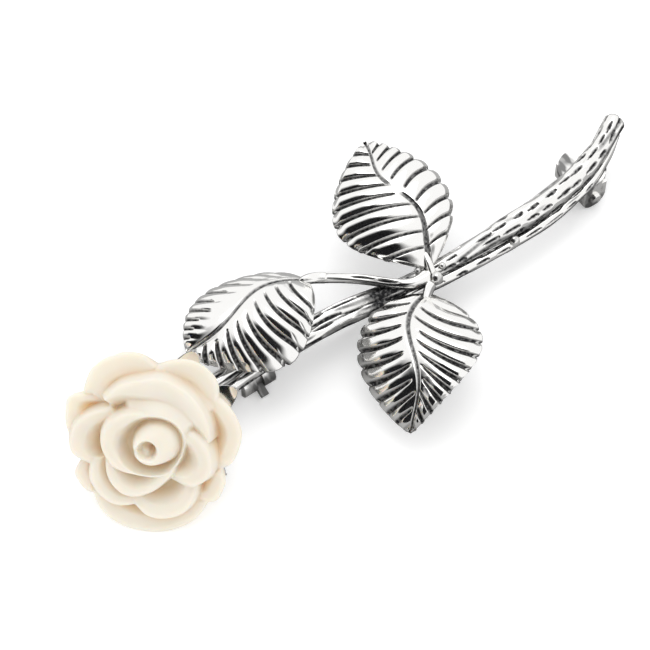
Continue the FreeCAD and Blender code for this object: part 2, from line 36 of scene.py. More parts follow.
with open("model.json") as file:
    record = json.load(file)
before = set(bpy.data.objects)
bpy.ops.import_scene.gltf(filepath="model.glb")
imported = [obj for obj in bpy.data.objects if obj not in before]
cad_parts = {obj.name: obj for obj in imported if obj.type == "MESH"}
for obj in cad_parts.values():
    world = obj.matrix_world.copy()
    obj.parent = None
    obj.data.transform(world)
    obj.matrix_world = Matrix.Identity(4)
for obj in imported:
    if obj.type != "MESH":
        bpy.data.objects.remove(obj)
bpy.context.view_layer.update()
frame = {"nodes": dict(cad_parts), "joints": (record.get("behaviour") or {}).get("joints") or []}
rng = np.random.default_rng(SEED)

# The pin's joint, from the catch, ties the stations to the row.
PIN_JOINT = np.array([48.2, 0.0, 2.0])
pin_joint_row = np.array(next(j["pos_m"] for j in frame["joints"] if j["name"] == "pin_swing")) / MM
TO_ROW = pin_joint_row - PIN_JOINT

# Twigs: x, y, z, radius along each centreline.
STEM = (
    (-12.6, -0.3, 3.3, 0.65), (-9.9, 0.1, 4.1, 0.95), (-6.6, 0.2, 4.8, 1.0), (1.7, 0.3, 5.5, 0.95),
    (12.0, -0.3, 5.7, 0.95), (20.0, -1.9, 6.0, 1.0), (28.0, -2.4, 6.1, 1.05), (38.5, -2.4, 6.2, 1.4),
    (45.5, -1.5, 6.2, 1.4), (50.5, 0.1, 6.2, 1.3), (53.6, 1.75, 6.25, 1.25), (55.6, 2.9, 6.3, 1.4),
)
TWIN = (
    (-9.4, -0.9, 3.7, 0.6), (-6.2, -1.2, 4.4, 0.8), (2.0, -1.1, 5.2, 0.85), (11.5, -1.5, 5.4, 0.85),
    (19.5, -2.8, 5.4, 0.8), (27.0, -3.6, 4.9, 0.7), (38.5, -3.9, 4.8, 0.62), (46.0, -2.9, 5.2, 0.58),
    (51.0, -0.9, 5.4, 0.55), (54.6, 1.4, 5.7, 0.5),
)
BRANCH = (
    (23.0, -3.2, 7.1, 0.85), (19.9, -2.7, 7.3, 0.65), (15.6, 0.8, 7.8, 0.6), (11.5, 3.45, 8.35, 0.6),
)

ROSE_FOOT = np.array([-13.18, -0.79, 3.85])
ROSE_AXIS = np.array([-0.473, -0.532, 0.702])


# ---------------------------------------------------------------- small maths


def smoothstep(low, high, value):
    """0 below low, 1 above high, and a soft step between."""
    t = np.clip((value - low) / (high - low), 0.0, 1.0)
    return t * t * (3 - 2 * t)


def unit(vector):
    return vector / np.linalg.norm(vector, axis=-1, keepdims=True)


def curve(points, count):
    """A smooth line through the points, as evenly spaced samples of every column, and its length."""
    points = np.asarray(points, float)
    padded = np.vstack([2 * points[0] - points[1], points, 2 * points[-1] - points[-2]])
    spans = len(points) - 1
    t = np.linspace(0, spans, 40 * spans + 1)
    k = np.minimum(t.astype(int), spans - 1)
    f = (t - k)[:, None]
    a, b, c, d = (padded[k + i] for i in range(4))
    line = 0.5 * (2 * b + (c - a) * f + (2 * a - 5 * b + 4 * c - d) * f**2 + (3 * b - a - 3 * c + d) * f**3)
    travelled = np.concatenate([[0], np.cumsum(np.linalg.norm(np.diff(line[:, :3], axis=0), axis=1))])
    wanted = np.linspace(0, travelled[-1], count)
    return np.stack([np.interp(wanted, travelled, column) for column in line.T], -1), travelled[-1]


# ---------------------------------------------------------------- meshes


def make_mesh(name, points, quads, triangles, marks=None):
    """A closed mesh in the row's metres. Marks are named numbers per vertex, which the materials read."""
    points = (points + TO_ROW) * MM
    fans = np.concatenate([quads[:, [0, 1, 2]], quads[:, [0, 2, 3]], triangles])
    a, b, c = (points[fans[:, i]] for i in range(3))
    if np.einsum("ij,ij->i", a, np.cross(b, c)).sum() < 0:
        quads, triangles = quads[:, ::-1], triangles[:, ::-1]
    mesh = bpy.data.meshes.new(name)
    mesh.vertices.add(len(points))
    mesh.vertices.foreach_set("co", points.ravel())
    corners = np.concatenate([quads.ravel(), triangles.ravel()])
    mesh.loops.add(len(corners))
    mesh.loops.foreach_set("vertex_index", corners)
    starts = np.concatenate([4 * np.arange(len(quads)), 4 * len(quads) + 3 * np.arange(len(triangles))])
    mesh.polygons.add(len(starts))
    mesh.polygons.foreach_set("loop_start", starts)
    mesh.update(calc_edges=True)
    mesh.validate()
    mesh.shade_smooth()
    for mark, values in (marks or {}).items():
        attribute = mesh.attributes.new(mark, "FLOAT", "POINT")
        attribute.data.foreach_set("value", values.astype(np.float32))
    piece = bpy.data.objects.new(name, mesh)
    bpy.context.scene.collection.objects.link(piece)
    return piece


def ring_faces(rows, around, first=0):
    """Quads and end caps of a solid made of rings, whose two pinch points follow the rings."""
    index = first + np.arange(rows * around).reshape(rows, around)
    after = np.roll(index, -1, axis=1)
    quads = np.stack([index[:-1], after[:-1], after[1:], index[1:]], -1).reshape(-1, 4)
    start, end = first + rows * around, first + rows * around + 1
    cap = np.stack([after[0], index[0], np.full(around, start)], -1)
    tail = np.stack([index[-1], after[-1], np.full(around, end)], -1)
    return quads, np.concatenate([cap, tail])


def ring_solid(name, solids):
    """One mesh from several solids, each given as its rings (rows, around, 3) and marks (rows, around)."""
    points, quads, triangles, marks = [], [], [], {}
    count = 0
    for rings, own in solids:
        rows, around = rings.shape[:2]
        points.append(np.concatenate([rings.reshape(-1, 3), [rings[0].mean(0)], [rings[-1].mean(0)]]))
        faces, caps = ring_faces(rows, around, count)
        quads.append(faces)
        triangles.append(caps)
        for mark, values in own.items():
            ends = [values[0].mean(), values[-1].mean()]
            marks.setdefault(mark, []).append(np.concatenate([values.ravel(), ends]))
        count += rows * around + 2
    joined = {mark: np.concatenate(values) for mark, values in marks.items()}
    return make_mesh(name, np.concatenate(points), np.concatenate(quads), np.concatenate(triangles), joined)


def finish_piece(piece, body, replaced, material):
    piece.data.materials.append(material)
    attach(piece, body)
    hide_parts(replaced)


# ---------------------------------------------------------------- materials


def add_node(tree, kind, settings=None, **inputs):
    """A shader node with its inputs set or linked, each by its name or by its number as i0, i1 and on."""
    node = tree.nodes.new(kind)
    for key, value in (settings or {}).items():
        setattr(node, key, value)
    for key, value in inputs.items():
        socket = node.inputs[int(key[1:])] if key[0] == "i" and key[1:].isdigit() else node.inputs[key]
        if isinstance(value, bpy.types.NodeSocket):
            tree.links.new(value, socket)
        else:
            socket.default_value = value
    return node


def mix_colour(tree, factor, first, second):
    node = add_node(tree, "ShaderNodeMix", {"data_type": "RGBA"}, Factor=factor)
    for socket, value in ((node.inputs[6], first), (node.inputs[7], second)):
        if isinstance(value, bpy.types.NodeSocket):
            tree.links.new(value, socket)
        else:
            socket.default_value = (*value, 1)
    return node.outputs[2]


def ranged(tree, value, low, high, to_low, to_high):
    """Maps low..high to to_low..to_high, clamped."""
    node = add_node(tree, "ShaderNodeMapRange", None, i0=value, i1=low, i2=high, i3=to_low, i4=to_high)
    return node.outputs[0]


def maths(tree, operation, first, second):
    return add_node(tree, "ShaderNodeMath", {"operation": operation}, i0=first, i1=second).outputs[0]


def noise(tree, scale, detail=3.0, stretch=None):
    """Object-space noise, its scale in features per metre."""
    place = add_node(tree, "ShaderNodeTexCoord").outputs["Object"]
    if stretch:
        place = add_node(tree, "ShaderNodeMapping", None, Vector=place, Scale=stretch).outputs[0]
    return add_node(tree, "ShaderNodeTexNoise", None, Vector=place, Scale=scale, Detail=detail).outputs[0]


def new_material(name):
    material = bpy.data.materials.new(name)
    material.use_nodes = True
    tree = material.node_tree
    return material, tree, tree.nodes["Principled BSDF"]


SILVER = (0.955, 0.948, 0.93)
# Black, for oxide and for painted shade.
OXIDE_AND_SHADE = (0.035, 0.035, 0.037)


def silver_material(name, polish, tarnish=None):
    """Polished silver. Black oxide and painted shade lie where the mark says, or oxide lies in streaks if a
    tarnish is given instead.
    """
    material, tree, shader = new_material(name)
    fine = noise(tree, 2600.0, 4.0)
    broad = noise(tree, 260.0, 3.0)
    if tarnish is None:
        mark = add_node(tree, "ShaderNodeAttribute", {"attribute_name": "oxide_and_shade"}).outputs["Fac"]
        worn = maths(tree, "MULTIPLY", ranged(tree, fine, 0.35, 0.65, -0.16, 0.16), mark)
        oxide_and_shade = ranged(tree, maths(tree, "ADD", mark, worn), 0.08, 0.95, 0.0, 1.0)
    else:
        streaks = noise(tree, 420.0, 2.0, (1.5, 0.7, 0.7))
        oxide_and_shade = ranged(tree, streaks, 0.44, 0.6, 0.0, tarnish)
    colour = mix_colour(tree, oxide_and_shade, SILVER, OXIDE_AND_SHADE)
    tree.links.new(colour, shader.inputs["Base Color"])
    shader.inputs["Metallic"].default_value = 1.0
    sheen = ranged(tree, broad, 0.3, 0.7, polish, polish + 0.05)
    dull = maths(tree, "ADD", sheen, maths(tree, "MULTIPLY", oxide_and_shade, 0.42))
    tree.links.new(dull, shader.inputs["Roughness"])
    bump = add_node(tree, "ShaderNodeBump", None, Strength=0.06, Distance=0.00004, Height=fine)
    tree.links.new(bump.outputs[0], shader.inputs["Normal"])
    return material


def rose_material():
    """Cream carved stone: soft light through thin petals, and painted shade, a warmer and darker tint laid
    into the recesses and down the bowl's wall.
    """
    material, tree, shader = new_material("cream_rose")
    # Painted shade: the recess mark, deepest in the carved hollows and towards the bowl's foot, mixes in a
    # darker, warmer cream.
    depth = add_node(tree, "ShaderNodeAttribute", {"attribute_name": "recess"}).outputs["Fac"]
    cloud = noise(tree, 180.0, 2.0)
    clouded = ranged(tree, cloud, 0.3, 0.7, 0.0, 1.0)
    cream = mix_colour(tree, clouded, (0.80, 0.75, 0.655), (0.83, 0.785, 0.70))
    colour = mix_colour(tree, depth, cream, (0.83, 0.69, 0.49))
    tree.links.new(colour, shader.inputs["Base Color"])
    shader.inputs["Subsurface Weight"].default_value = 0.7
    shader.inputs["Subsurface Radius"].default_value = (1.0, 0.75, 0.5)
    shader.inputs["Subsurface Scale"].default_value = 0.0016
    grain = noise(tree, 1500.0, 4.0)
    tree.links.new(ranged(tree, grain, 0.3, 0.7, 0.36, 0.46), shader.inputs["Roughness"])
    shader.inputs["Specular IOR Level"].default_value = 0.42
    bump = add_node(tree, "ShaderNodeBump", None, Strength=0.1, Distance=0.00005, Height=grain)
    tree.links.new(bump.outputs[0], shader.inputs["Normal"])
    return material


# ---------------------------------------------------------------- leaves

LEAF_THICK = 0.75
VEINS = 10
VEIN_START = 0.02
VEIN_SPAN = 0.93
VEIN_DEEP = 0.26
RIB_DEEP = 0.2
MARGIN_DROP = 0.42
LEAF_ROWS = 300
LEAF_TOP = 150
LEAF_UNDER = 50

# Foot, tip, roll about the midrib in degrees, the radii the blade is bent to along and across, and the
# width. Lean is the share by which the side left of the midrib is wider, swell moves the widest place
# towards the foot, blunt fills the ends, bend is the midrib's bow, its S and a finer S in millimetres.
# Reach is how far the engraved veins run in from the margin, left and right, and vein how much wider they
# get on the way out. Fade is where the midrib's groove runs out, as shares of the length. Sweep is how far
# the veins slant to the tip, at the foot and at the tip, for the left side and the right, and sag how much
# they curve back. Fold makes a ridge of the midrib, twist turns the blade along its length, and puff is the
# height of the lobes between veins, left and right.
LEAVES = {
    "left_leaf": dict(
        foot=(10.26, 3.59, 8.91), tip=(-6.31, 3.98, 7.7), roll=10.5, along=17.7, across=8.8, width=14.7,
        lean=0.01, swell=0.88, blunt=0.65, bend=(-0.42, -1.07, 0.0), reach=(0.86, 0.55), vein=0.07,
        fade=None,
        sweep=((0.4, 0.85), (0.7, 1.1)), sag=(1.3, 0.6), fold=0.0, twist=-0.03, puff=(0.36, 0.3),
    ),
    "upper_leaf": dict(
        foot=(23.57, -2.34, 7.53), tip=(27.09, 15.81, 9.3), roll=1.55, along=18.8, across=13.35, width=14.04,
        lean=0.14, swell=0.89, blunt=0.86, bend=(-0.1, -1.05, 0.3), reach=(0.97, 0.9), vein=0.05,
        fade=(0.46, 0.6),
        sweep=((0.05, 0.6), (0.35, 1.05)), sag=(0.1, 0.8), fold=0.0, twist=0.0, puff=(0.3, 0.3),
    ),
    "lower_leaf": dict(
        foot=(21.21, -4.89, 7.13), tip=(9.61, -17.44, 4.04), roll=16.4, along=11.6, across=16.0, width=14.3,
        lean=0.04, swell=0.83, blunt=0.75, bend=(0.32, -1.1, 0.0), reach=(0.92, 0.88), vein=0.1, fade=None,
        sweep=((0.9, 1.4), (0.4, 0.9)), sag=(1.4, 1.0), fold=0.06, twist=0.035, puff=(0.3, 0.3),
    ),
}


def vein_phase(u, off_rib, side, leaf, length):
    """Which vein a place lies on, and where that vein leaves the midrib as a share of the length."""
    (left_foot, left_tip), (right_foot, right_tip) = leaf["sweep"]
    at_foot = np.where(side > 0, left_foot, right_foot)
    at_tip = np.where(side > 0, left_tip, right_tip)
    out = off_rib / length
    sag = np.where(side > 0, *leaf["sag"]) * out**2
    root = u.copy()
    for _ in range(14):
        root = 0.5 * root + 0.5 * (u - (at_foot + (at_tip - at_foot) * root) * out + sag)
    return VEINS * (root - VEIN_START) / VEIN_SPAN, root


def leaf_outline(u, leaf):
    """Half width of the blade in millimetres, at a share of its length."""
    return 0.5 * leaf["width"] * np.sin(math.pi * np.clip(u, 0, 1) ** leaf["swell"]) ** leaf["blunt"]


def leaf_piece(name, material):
    """A domed blade: lobes between engraved veins, a grooved and bent midrib, and a scalloped margin."""
    leaf = LEAVES[name]
    foot, tip = np.array(leaf["foot"]), np.array(leaf["tip"])
    length = np.linalg.norm(tip - foot)
    ahead = (tip - foot) / length
    left = unit(np.cross([0, 0, 1], ahead))
    up = np.cross(ahead, left)
    turn = math.radians(leaf["roll"])
    left, up = math.cos(turn) * left + math.sin(turn) * up, math.cos(turn) * up - math.sin(turn) * left

    crowded = 0.5 - 0.5 * np.cos(math.pi * np.linspace(0.012, 0.988, LEAF_ROWS))
    u = 0.35 * crowded + 0.65 * np.linspace(0.001, 0.999, LEAF_ROWS)
    even = np.linspace(1, -1, LEAF_TOP)
    t_top = np.sin(0.5 * math.pi * even) * 0.4 + even * 0.6
    t_under = np.linspace(-1, 1, LEAF_UNDER + 2)[1:-1]
    t = np.concatenate([t_top, t_under])
    upper_side = np.arange(len(t)) < LEAF_TOP
    u_grid, t_grid = np.meshgrid(u, t, indexing="ij")

    half = leaf_outline(u_grid, leaf)
    bow, wave, kink = leaf["bend"]
    midrib = bow * 4 * u_grid * (1 - u_grid) + wave * np.sin(2 * math.pi * u_grid)
    midrib = midrib + kink * np.sin(4 * math.pi * u_grid)
    edge_phase, _ = vein_phase(u_grid, np.abs(np.sign(t_grid) * half - midrib), t_grid, leaf, length)
    edge_off = np.abs(edge_phase - np.round(edge_phase))
    lobe = np.sqrt(np.clip(1 - (1 - 2 * edge_off) ** 2, 0, 1))
    scallop = 1.03 - 0.075 * (1 - lobe) * smoothstep(0.03, 0.12, u_grid)
    wide_left = half * scallop * (1 + leaf["lean"])
    wide_right = half * scallop * (1 - leaf["lean"])
    midrib = np.clip(midrib, -0.8 * wide_right, 0.8 * wide_left)
    reach_out = np.where(t_grid > 0, wide_left - midrib, wide_right + midrib)
    y = midrib + t_grid * reach_out
    x = u_grid * length
    off_rib = np.abs(t_grid) * reach_out

    along, across = leaf["along"], leaf["across"]
    height = np.sqrt(np.clip(1 - (x - length / 2) ** 2 / (along * across) - y**2 / across**2, 0.02, 1))
    end_height = math.sqrt(1 - length**2 / 4 / (along * across))
    z = across * (height - end_height) - leaf["fold"] * (np.hypot(off_rib, 0.5) - 0.5)
    z = z + leaf["twist"] * y * (x - length / 2)

    share = np.abs(t_grid)
    phase, root = vein_phase(u_grid, off_rib, t_grid, leaf, length)
    off = np.abs(phase - np.round(phase))
    spacing = VEIN_SPAN * length / VEINS * (0.95 - 0.35 * root)
    side_reach = np.where(t_grid > 0, leaf["reach"][0], leaf["reach"][1])
    number = np.clip(np.round(phase), 0, VEINS).astype(int)
    jitter = rng.uniform(-0.07, 0.07, (2, VEINS + 1))[(t_grid > 0).astype(int), number]
    starts = np.clip(1 - side_reach + jitter, 0.02, 0.7)
    within = smoothstep(starts - 0.03, starts + 0.06, share) * smoothstep(0.4, 0.9, phase)
    within *= 1 - smoothstep(VEINS - 0.4, VEINS + 0.2, phase)
    vein_half = 0.09 + leaf["vein"] * np.sqrt(np.clip((share - starts) / (1 - starts), 0, 1))
    distance = off * spacing
    groove = within * (1 - smoothstep(vein_half - 0.06, vein_half + 0.1, distance))

    rib_half = 0.34 - 0.2 * u_grid
    rib = 1 - smoothstep(rib_half - 0.12, rib_half + 0.08, off_rib)
    if leaf["fade"]:
        low, high = leaf["fade"]
        middle, gap = (low + high) / 2, (high - low) / 2
        rib = rib * smoothstep(0.3 * gap, gap, np.abs(u_grid - middle))

    puff = np.where(t_grid > 0, *leaf["puff"])
    pillow = puff * np.sin(math.pi * off) * smoothstep(0.1, 0.6, share) * smoothstep(0.0, 0.2, u_grid)
    shoulder = 0.06 * (1 - smoothstep(0.2, 1.1, off_rib))
    rounding = MARGIN_DROP * smoothstep(0.82, 1.0, share) ** 2
    relief = pillow - VEIN_DEEP * groove - RIB_DEEP * rib - shoulder - rounding
    under = -LEAF_THICK + 0.35 * smoothstep(0.75, 1.0, share)
    z = z + np.where(upper_side[None, :], relief, under)
    thin = 1 - smoothstep(0.0, 0.06, np.minimum(u_grid, 1 - u_grid))
    z = z - np.where(upper_side[None, :], 0.2, -0.2) * thin

    oxide_and_shade = np.maximum(groove * 0.9, rib * 0.82)
    oxide_and_shade = np.maximum(oxide_and_shade, 0.5 * smoothstep(0.965, 1.0, share) * (1 - smoothstep(0.1, 0.3, edge_off)))
    oxide_and_shade = np.where(upper_side[None, :], oxide_and_shade, 0.35)
    rings = foot + x[..., None] * ahead + y[..., None] * left + z[..., None] * up
    piece = ring_solid(name + "_blade", [(rings, {"oxide_and_shade": oxide_and_shade})])
    finish_piece(piece, "brooch", name, material)


# ---------------------------------------------------------------- twigs


def sweep_frame(line):
    """Unit vectors across a centreline: level, and upwards."""
    ahead = unit(np.gradient(line, axis=0))
    level = unit(np.cross(np.array([0.0, 0.0, 1.0]), ahead))
    return level, np.cross(ahead, level)


def bark_slots(arc, angle, radius, start, end, step, columns, long, wide):
    """Staggered slots cut in the bark: how deep each place is cut, from 0 to 1."""
    cut = np.zeros_like(angle)
    rows = int((end - start) / step)
    for row in range(rows):
        for column in range(columns):
            centre = start + (row + 0.5 * (column % 2) + rng.uniform(-0.2, 0.2)) * step
            facing = 2 * math.pi * (column + rng.uniform(-0.18, 0.18)) / columns
            length = rng.uniform(*long) / 2
            width = rng.uniform(*wide) / 2
            along = (arc - centre) / length
            around = (angle - facing + math.pi) % (2 * math.pi) - math.pi
            taper = np.clip(1 + 0.45 * along, 0.25, 1.5)
            shape = along**2 + (around * radius / (width * taper)) ** 2
            cut = np.maximum(cut, 1 - smoothstep(0.55, 1.25, shape))
    return cut


SLOT_DEEP = 0.22


def twig_rings(stations, per_mm=11.0, around=72, slots=(), ripple=0.05, ends=(0.6, 0.6), fork_shade_and_oxide=None):
    """Rings of a twig and its dark mark: a rod with ripples, bark slots and rounded ends, oxide in the slots
    and the ripples' valleys, painted shade along its underside, and a stretch of painted shade with oxide by
    the fork.
    """
    _, total = curve(stations, 10)
    count = int(total * per_mm)
    line, total = curve(stations, count)
    level, up = sweep_frame(line[:, :3])
    arc = np.linspace(0, total, count)[:, None]
    angle = np.linspace(0, 2 * math.pi, around, endpoint=False)[None, :]
    arc, angle = np.broadcast_arrays(arc, angle)
    radius = line[:, 3:4] * np.ones_like(angle)
    cut = np.zeros_like(angle)
    for slot in slots:
        cut = np.maximum(cut, bark_slots(arc, angle, radius, **slot))
    wander = rng.uniform(0, 2 * math.pi, 4)
    waves = sum(
        np.sin((3 + k) * angle + 1.8 * np.sin(arc * (0.35 + 0.13 * k) + wander[k]) + wander[k])
        for k in range(3)
    )
    radius = radius * (1 + ripple * waves / 3) - SLOT_DEEP * cut
    at_ends = np.clip(np.minimum(arc / ends[0], (total - arc) / ends[1]), 0, 1)
    radius = radius * np.sqrt(np.clip(1 - (1 - at_ends) ** 2, 0.0004, 1))
    across = np.cos(angle)[..., None] * level[:, None] + np.sin(angle)[..., None] * up[:, None]
    rings = line[:, None, :3] + radius[..., None] * across
    valleys = smoothstep(0.35, 1.0, -waves / 3)
    # Painted shade: the lower half of every twig is laid dark, on top of the oxide in the bark slots and the
    # ripples' valleys.
    underside_shade = 0.88 * smoothstep(-0.55, 0.15, -np.sin(angle) + 0.16 * waves)
    oxide_and_shade = np.maximum(np.maximum(cut * 0.95, valleys * 0.7), underside_shade)
    # Painted shade with oxide: a dark stretch where the twig runs by the fork and under the branch.
    if fork_shade_and_oxide:
        start, end = fork_shade_and_oxide
        patch = smoothstep(start - 2.0, start + 1.5, arc + 0.8 * waves)
        patch = patch * smoothstep(end + 1.0, end - 1.0, arc)
        oxide_and_shade = np.maximum(oxide_and_shade, 0.95 * patch * smoothstep(0.75, 0.2, waves / 3))
    return rings, {"oxide_and_shade": oxide_and_shade}


STALK = dict(per_mm=16.0, around=48, ripple=0.1, ends=(0.5, 0.5))
# Every twig and stalk: the name of its piece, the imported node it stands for, its stations, and how it is
# made.
TWIGS = (
    ("bark_stem", "main_stem", STEM, dict(
        slots=(
            dict(start=2.0, end=31.0, step=4.2, columns=5, long=(2.6, 5.4), wide=(0.4, 0.66)),
            dict(start=35.0, end=44.0, step=2.3, columns=7, long=(1.2, 2.6), wide=(0.28, 0.5)),
            dict(start=44.0, end=70.0, step=2.6, columns=8, long=(1.5, 2.7), wide=(0.32, 0.55)),
        ),
        # Painted shade with oxide from 28 to 34.5 mm along, where the branch leaves the stem.
        ripple=0.08, ends=(0.6, 1.0), fork_shade_and_oxide=(28.0, 34.5),
    )),
    ("bark_twin", "twin_twig", TWIN, dict(
        slots=(
            dict(start=2.0, end=32.0, step=4.6, columns=4, long=(2.6, 5.0), wide=(0.34, 0.56)),
            dict(start=33.0, end=62.0, step=3.4, columns=5, long=(1.4, 2.8), wide=(0.22, 0.4)),
        ),
        # Painted shade with oxide from 24 to 29 mm along, by the fork.
        ripple=0.1, fork_shade_and_oxide=(24.0, 29.0),
    )),
    ("bark_branch", "leaf_branch", BRANCH, dict(
        slots=(dict(start=3.0, end=13.0, step=3.6, columns=4, long=(1.8, 3.2), wide=(0.25, 0.4)),),
        ripple=0.08,
    )),
    ("left_leaf_collar_cast", "left_leaf_collar", (
        (12.6, 2.75, 8.3, 0.62), (11.4, 3.4, 8.5, 0.66), (10.2, 3.75, 8.8, 0.6), (9.2, 3.85, 9.1, 0.3),
    ), STALK),
    ("upper_leaf_stalk_cast", "upper_leaf_stalk", (
        (23.1, -3.6, 6.9, 0.6), (23.4, -2.6, 7.4, 0.52), (23.65, -1.7, 7.8, 0.45), (23.9, -0.6, 8.2, 0.3),
    ), STALK),
    ("lower_leaf_stalk_cast", "lower_leaf_stalk", (
        (22.6, -4.0, 6.9, 0.65), (21.8, -4.5, 7.0, 0.62), (21.0, -5.2, 7.25, 0.52), (20.3, -5.9, 7.4, 0.3),
    ), STALK),
)


def twig_piece(name, replaced, stations, making, material):
    piece = ring_solid(name, [twig_rings(stations, **making)])
    finish_piece(piece, "brooch", replaced, material)


# ---------------------------------------------------------------- rose

ROSE_STEP = 0.05
ROSE_HALF = 12.0
ROSE_RINGS = 210
ROSE_AROUND = 560
WALL_RINGS = 46

# Petals from the outside in. Each runs anticlockwise over the bud from one angle, in degrees, through a
# sweep. Rim is its lip's distance from the axis at evenly spaced angles, level the lip's height over the
# foot, and face how wide its broad upper side is before it dips into the recess, also evenly spaced. Tuck
# is how far its ends sink under their neighbours. Fall is how steeply its outer side drops, where that is
# gentler than a wall.
PETALS = (
    dict(start=48, sweep=62, level=6.3, rim=(8.4, 10.0, 10.7, 11.0, 10.9, 10.2, 9.4), face=(2.6,)),
    dict(start=104, sweep=42, level=6.0, rim=(8.6, 10.8, 10.4, 9.8, 8.6), face=(1.5,)),
    dict(start=158, sweep=30, level=6.2, rim=(8.6, 9.7, 9.7, 9.5, 8.6), face=(1.4,)),
    dict(start=178, sweep=100, level=6.2, rim=(8.6, 9.9, 10.35, 10.4, 10.3, 9.9, 8.9), face=(1.8,)),
    dict(start=270, sweep=34, level=6.2, rim=(8.4, 9.6, 9.5, 9.1, 7.8), face=(1.6,)),
    dict(start=297, sweep=66, level=6.1, rim=(7.6, 9.0, 9.6, 10.0, 9.8, 9.4, 8.6), face=(1.6,)),
    dict(start=357, sweep=58, level=6.3, rim=(8.8, 10.1, 10.5, 10.5, 10.0, 9.2, 8.0), face=(2.2,)),
    dict(start=94, sweep=68, level=7.4, rim=(6.2, 6.8, 7.9, 8.9, 9.3, 9.0, 7.4), face=(1.3, 1.8, 1.3)),
    dict(start=157, sweep=74, level=7.4, rim=(7.0, 8.1, 8.4, 8.2, 7.2, 6.0), face=(1.2,)),
    dict(start=215, sweep=70, level=7.9, rim=(7.0, 8.1, 8.5, 8.4, 7.7, 6.6), face=(1.6,)),
    dict(
        start=327, sweep=132, level=8.2, rim=(6.7, 7.0, 7.3, 7.6, 7.9, 7.7, 7.75, 7.5),
        face=(0.2, 1.5, 2.5, 2.4, 1.5, 0.2),
    ),
    dict(start=262, sweep=94, level=8.6, rim=(4.4, 6.5, 7.3, 6.7, 5.5, 4.2), face=(1.6,), tuck=1.0),
    dict(start=158, sweep=142, level=8.8, rim=(5.2, 6.0, 6.2, 5.3, 4.3, 3.8, 3.1), face=(1.0,)),
    dict(
        start=50, sweep=268, level=9.4, rim=(3.6, 4.9, 5.6, 4.7, 3.4, 3.2, 3.4, 3.6),
        face=(1.1, 1.4, 1.1, 0.9, 0.2),
    ),
    dict(
        start=-46, sweep=166, level=9.25, rim=(3.6, 3.9, 3.95, 3.8, 3.5, 3.6, 3.4), face=(0.15,),
        fall=0.75, tuck=0.3,
    ),
)
# The bud's outer shoulder, the lip round its eye and the ring it stands in: distance from the axis every 45
# degrees.
BUD_SHOULDER = (3.05, 2.65, 2.15, 1.9, 1.75, 1.8, 2.05, 2.75)
BUD_LIP = (0.9, 1.0, 1.15, 1.15, 0.95, 0.85, 0.85, 0.85)
BUD_RING = (4.0, 3.65, 3.55, 3.6, 3.2, 3.0, 3.3, 3.85)
BUD_TOP = 10.2
RING_FLOOR = 6.9
# Where the bud's eye is deepest and where its lip opens, in degrees.
EYE_DEEPEST = 5
EYE_OPENING = 146
# How steeply a petal's outer wall falls, in millimetres per millimetre.
STEEP = 7.0
TUCK = 0.35
RECESS_DEEP = 1.6
EYE_DEEP = 2.3
# The bowl under the petals widens evenly from its foot, which keeps it clear of the table.
BOWL_FOOT = 4.4
BOWL_SLOPE = 0.97


def spaced(values, share, closed=False):
    """Values at evenly spaced places, joined by a smooth curve and read at a share of the way."""
    values = np.asarray(values, float)
    if len(values) == 1:
        return np.full_like(share, values[0])
    if closed:
        values = np.concatenate([values[-1:], values, values[:2]])
        place = share * (len(values) - 3)
    else:
        values = np.concatenate([[2 * values[0] - values[1]], values, [2 * values[-1] - values[-2]]])
        place = share * (len(values) - 3)
    k = np.clip(place.astype(int), 0, len(values) - 4)
    f = place - k
    a, b, c, d = (values[k + i] for i in range(4))
    return 0.5 * (2 * b + (c - a) * f + (2 * a - 5 * b + 4 * c - d) * f**2 + (3 * b - a - 3 * c + d) * f**3)


def blur(field, sigma):
    """Gaussian blur of a height field, sigma in cells."""
    reach = int(3 * sigma) + 1
    taps = np.exp(-0.5 * (np.arange(-reach, reach + 1) / sigma) ** 2)
    taps /= taps.sum()
    for axis in (0, 1):
        padded = np.pad(field, [(reach, reach) if a == axis else (0, 0) for a in (0, 1)], mode="edge")
        size = field.shape[axis]
        pieces = [np.take(padded, range(i, i + size), axis=axis) * tap for i, tap in enumerate(taps)]
        field = sum(pieces)
    return field


def rose_field():
    """Height of the carved top over the foot, on a square grid, petal over petal from the outside in."""
    side = np.arange(-ROSE_HALF, ROSE_HALF + ROSE_STEP / 2, ROSE_STEP)
    x, y = np.meshgrid(side, side, indexing="ij")
    radius = np.hypot(x, y)
    angle = np.degrees(np.arctan2(y, x)) % 360
    height = np.full_like(radius, 3.4)
    for petal in PETALS:
        turned = (angle - petal["start"]) % 360
        inside = turned <= petal["sweep"]
        share = np.clip(turned / petal["sweep"], 0, 1)
        rim = spaced(petal["rim"], share)
        face = spaced(petal["face"], share)
        depth = rim - radius
        lip = 0.35 * np.clip(1 - depth / 0.7, 0, 1) ** 2
        recess = np.minimum(0.95 * np.clip(depth - face, 0, None) ** 1.15, RECESS_DEEP)
        dip = 0.16 * np.clip(depth, 0, None) + recess
        ends = np.minimum(share, 1 - share)
        level = petal["level"] - petal.get("tuck", TUCK) * (1 - smoothstep(0.0, 0.22, ends))
        within = level - lip - dip
        fall = STEEP + (petal.get("fall", STEEP) - STEEP) * smoothstep(0.0, 0.25, ends)
        cliff = level - 0.35 - fall * np.clip(-depth, 0, None)
        covered = inside & (depth >= 0)
        height = np.where(covered, within, height)
        near = inside & (depth < 0)
        height = np.where(near, np.maximum(height, cliff), height)
    return side, add_bud(height, radius, angle)


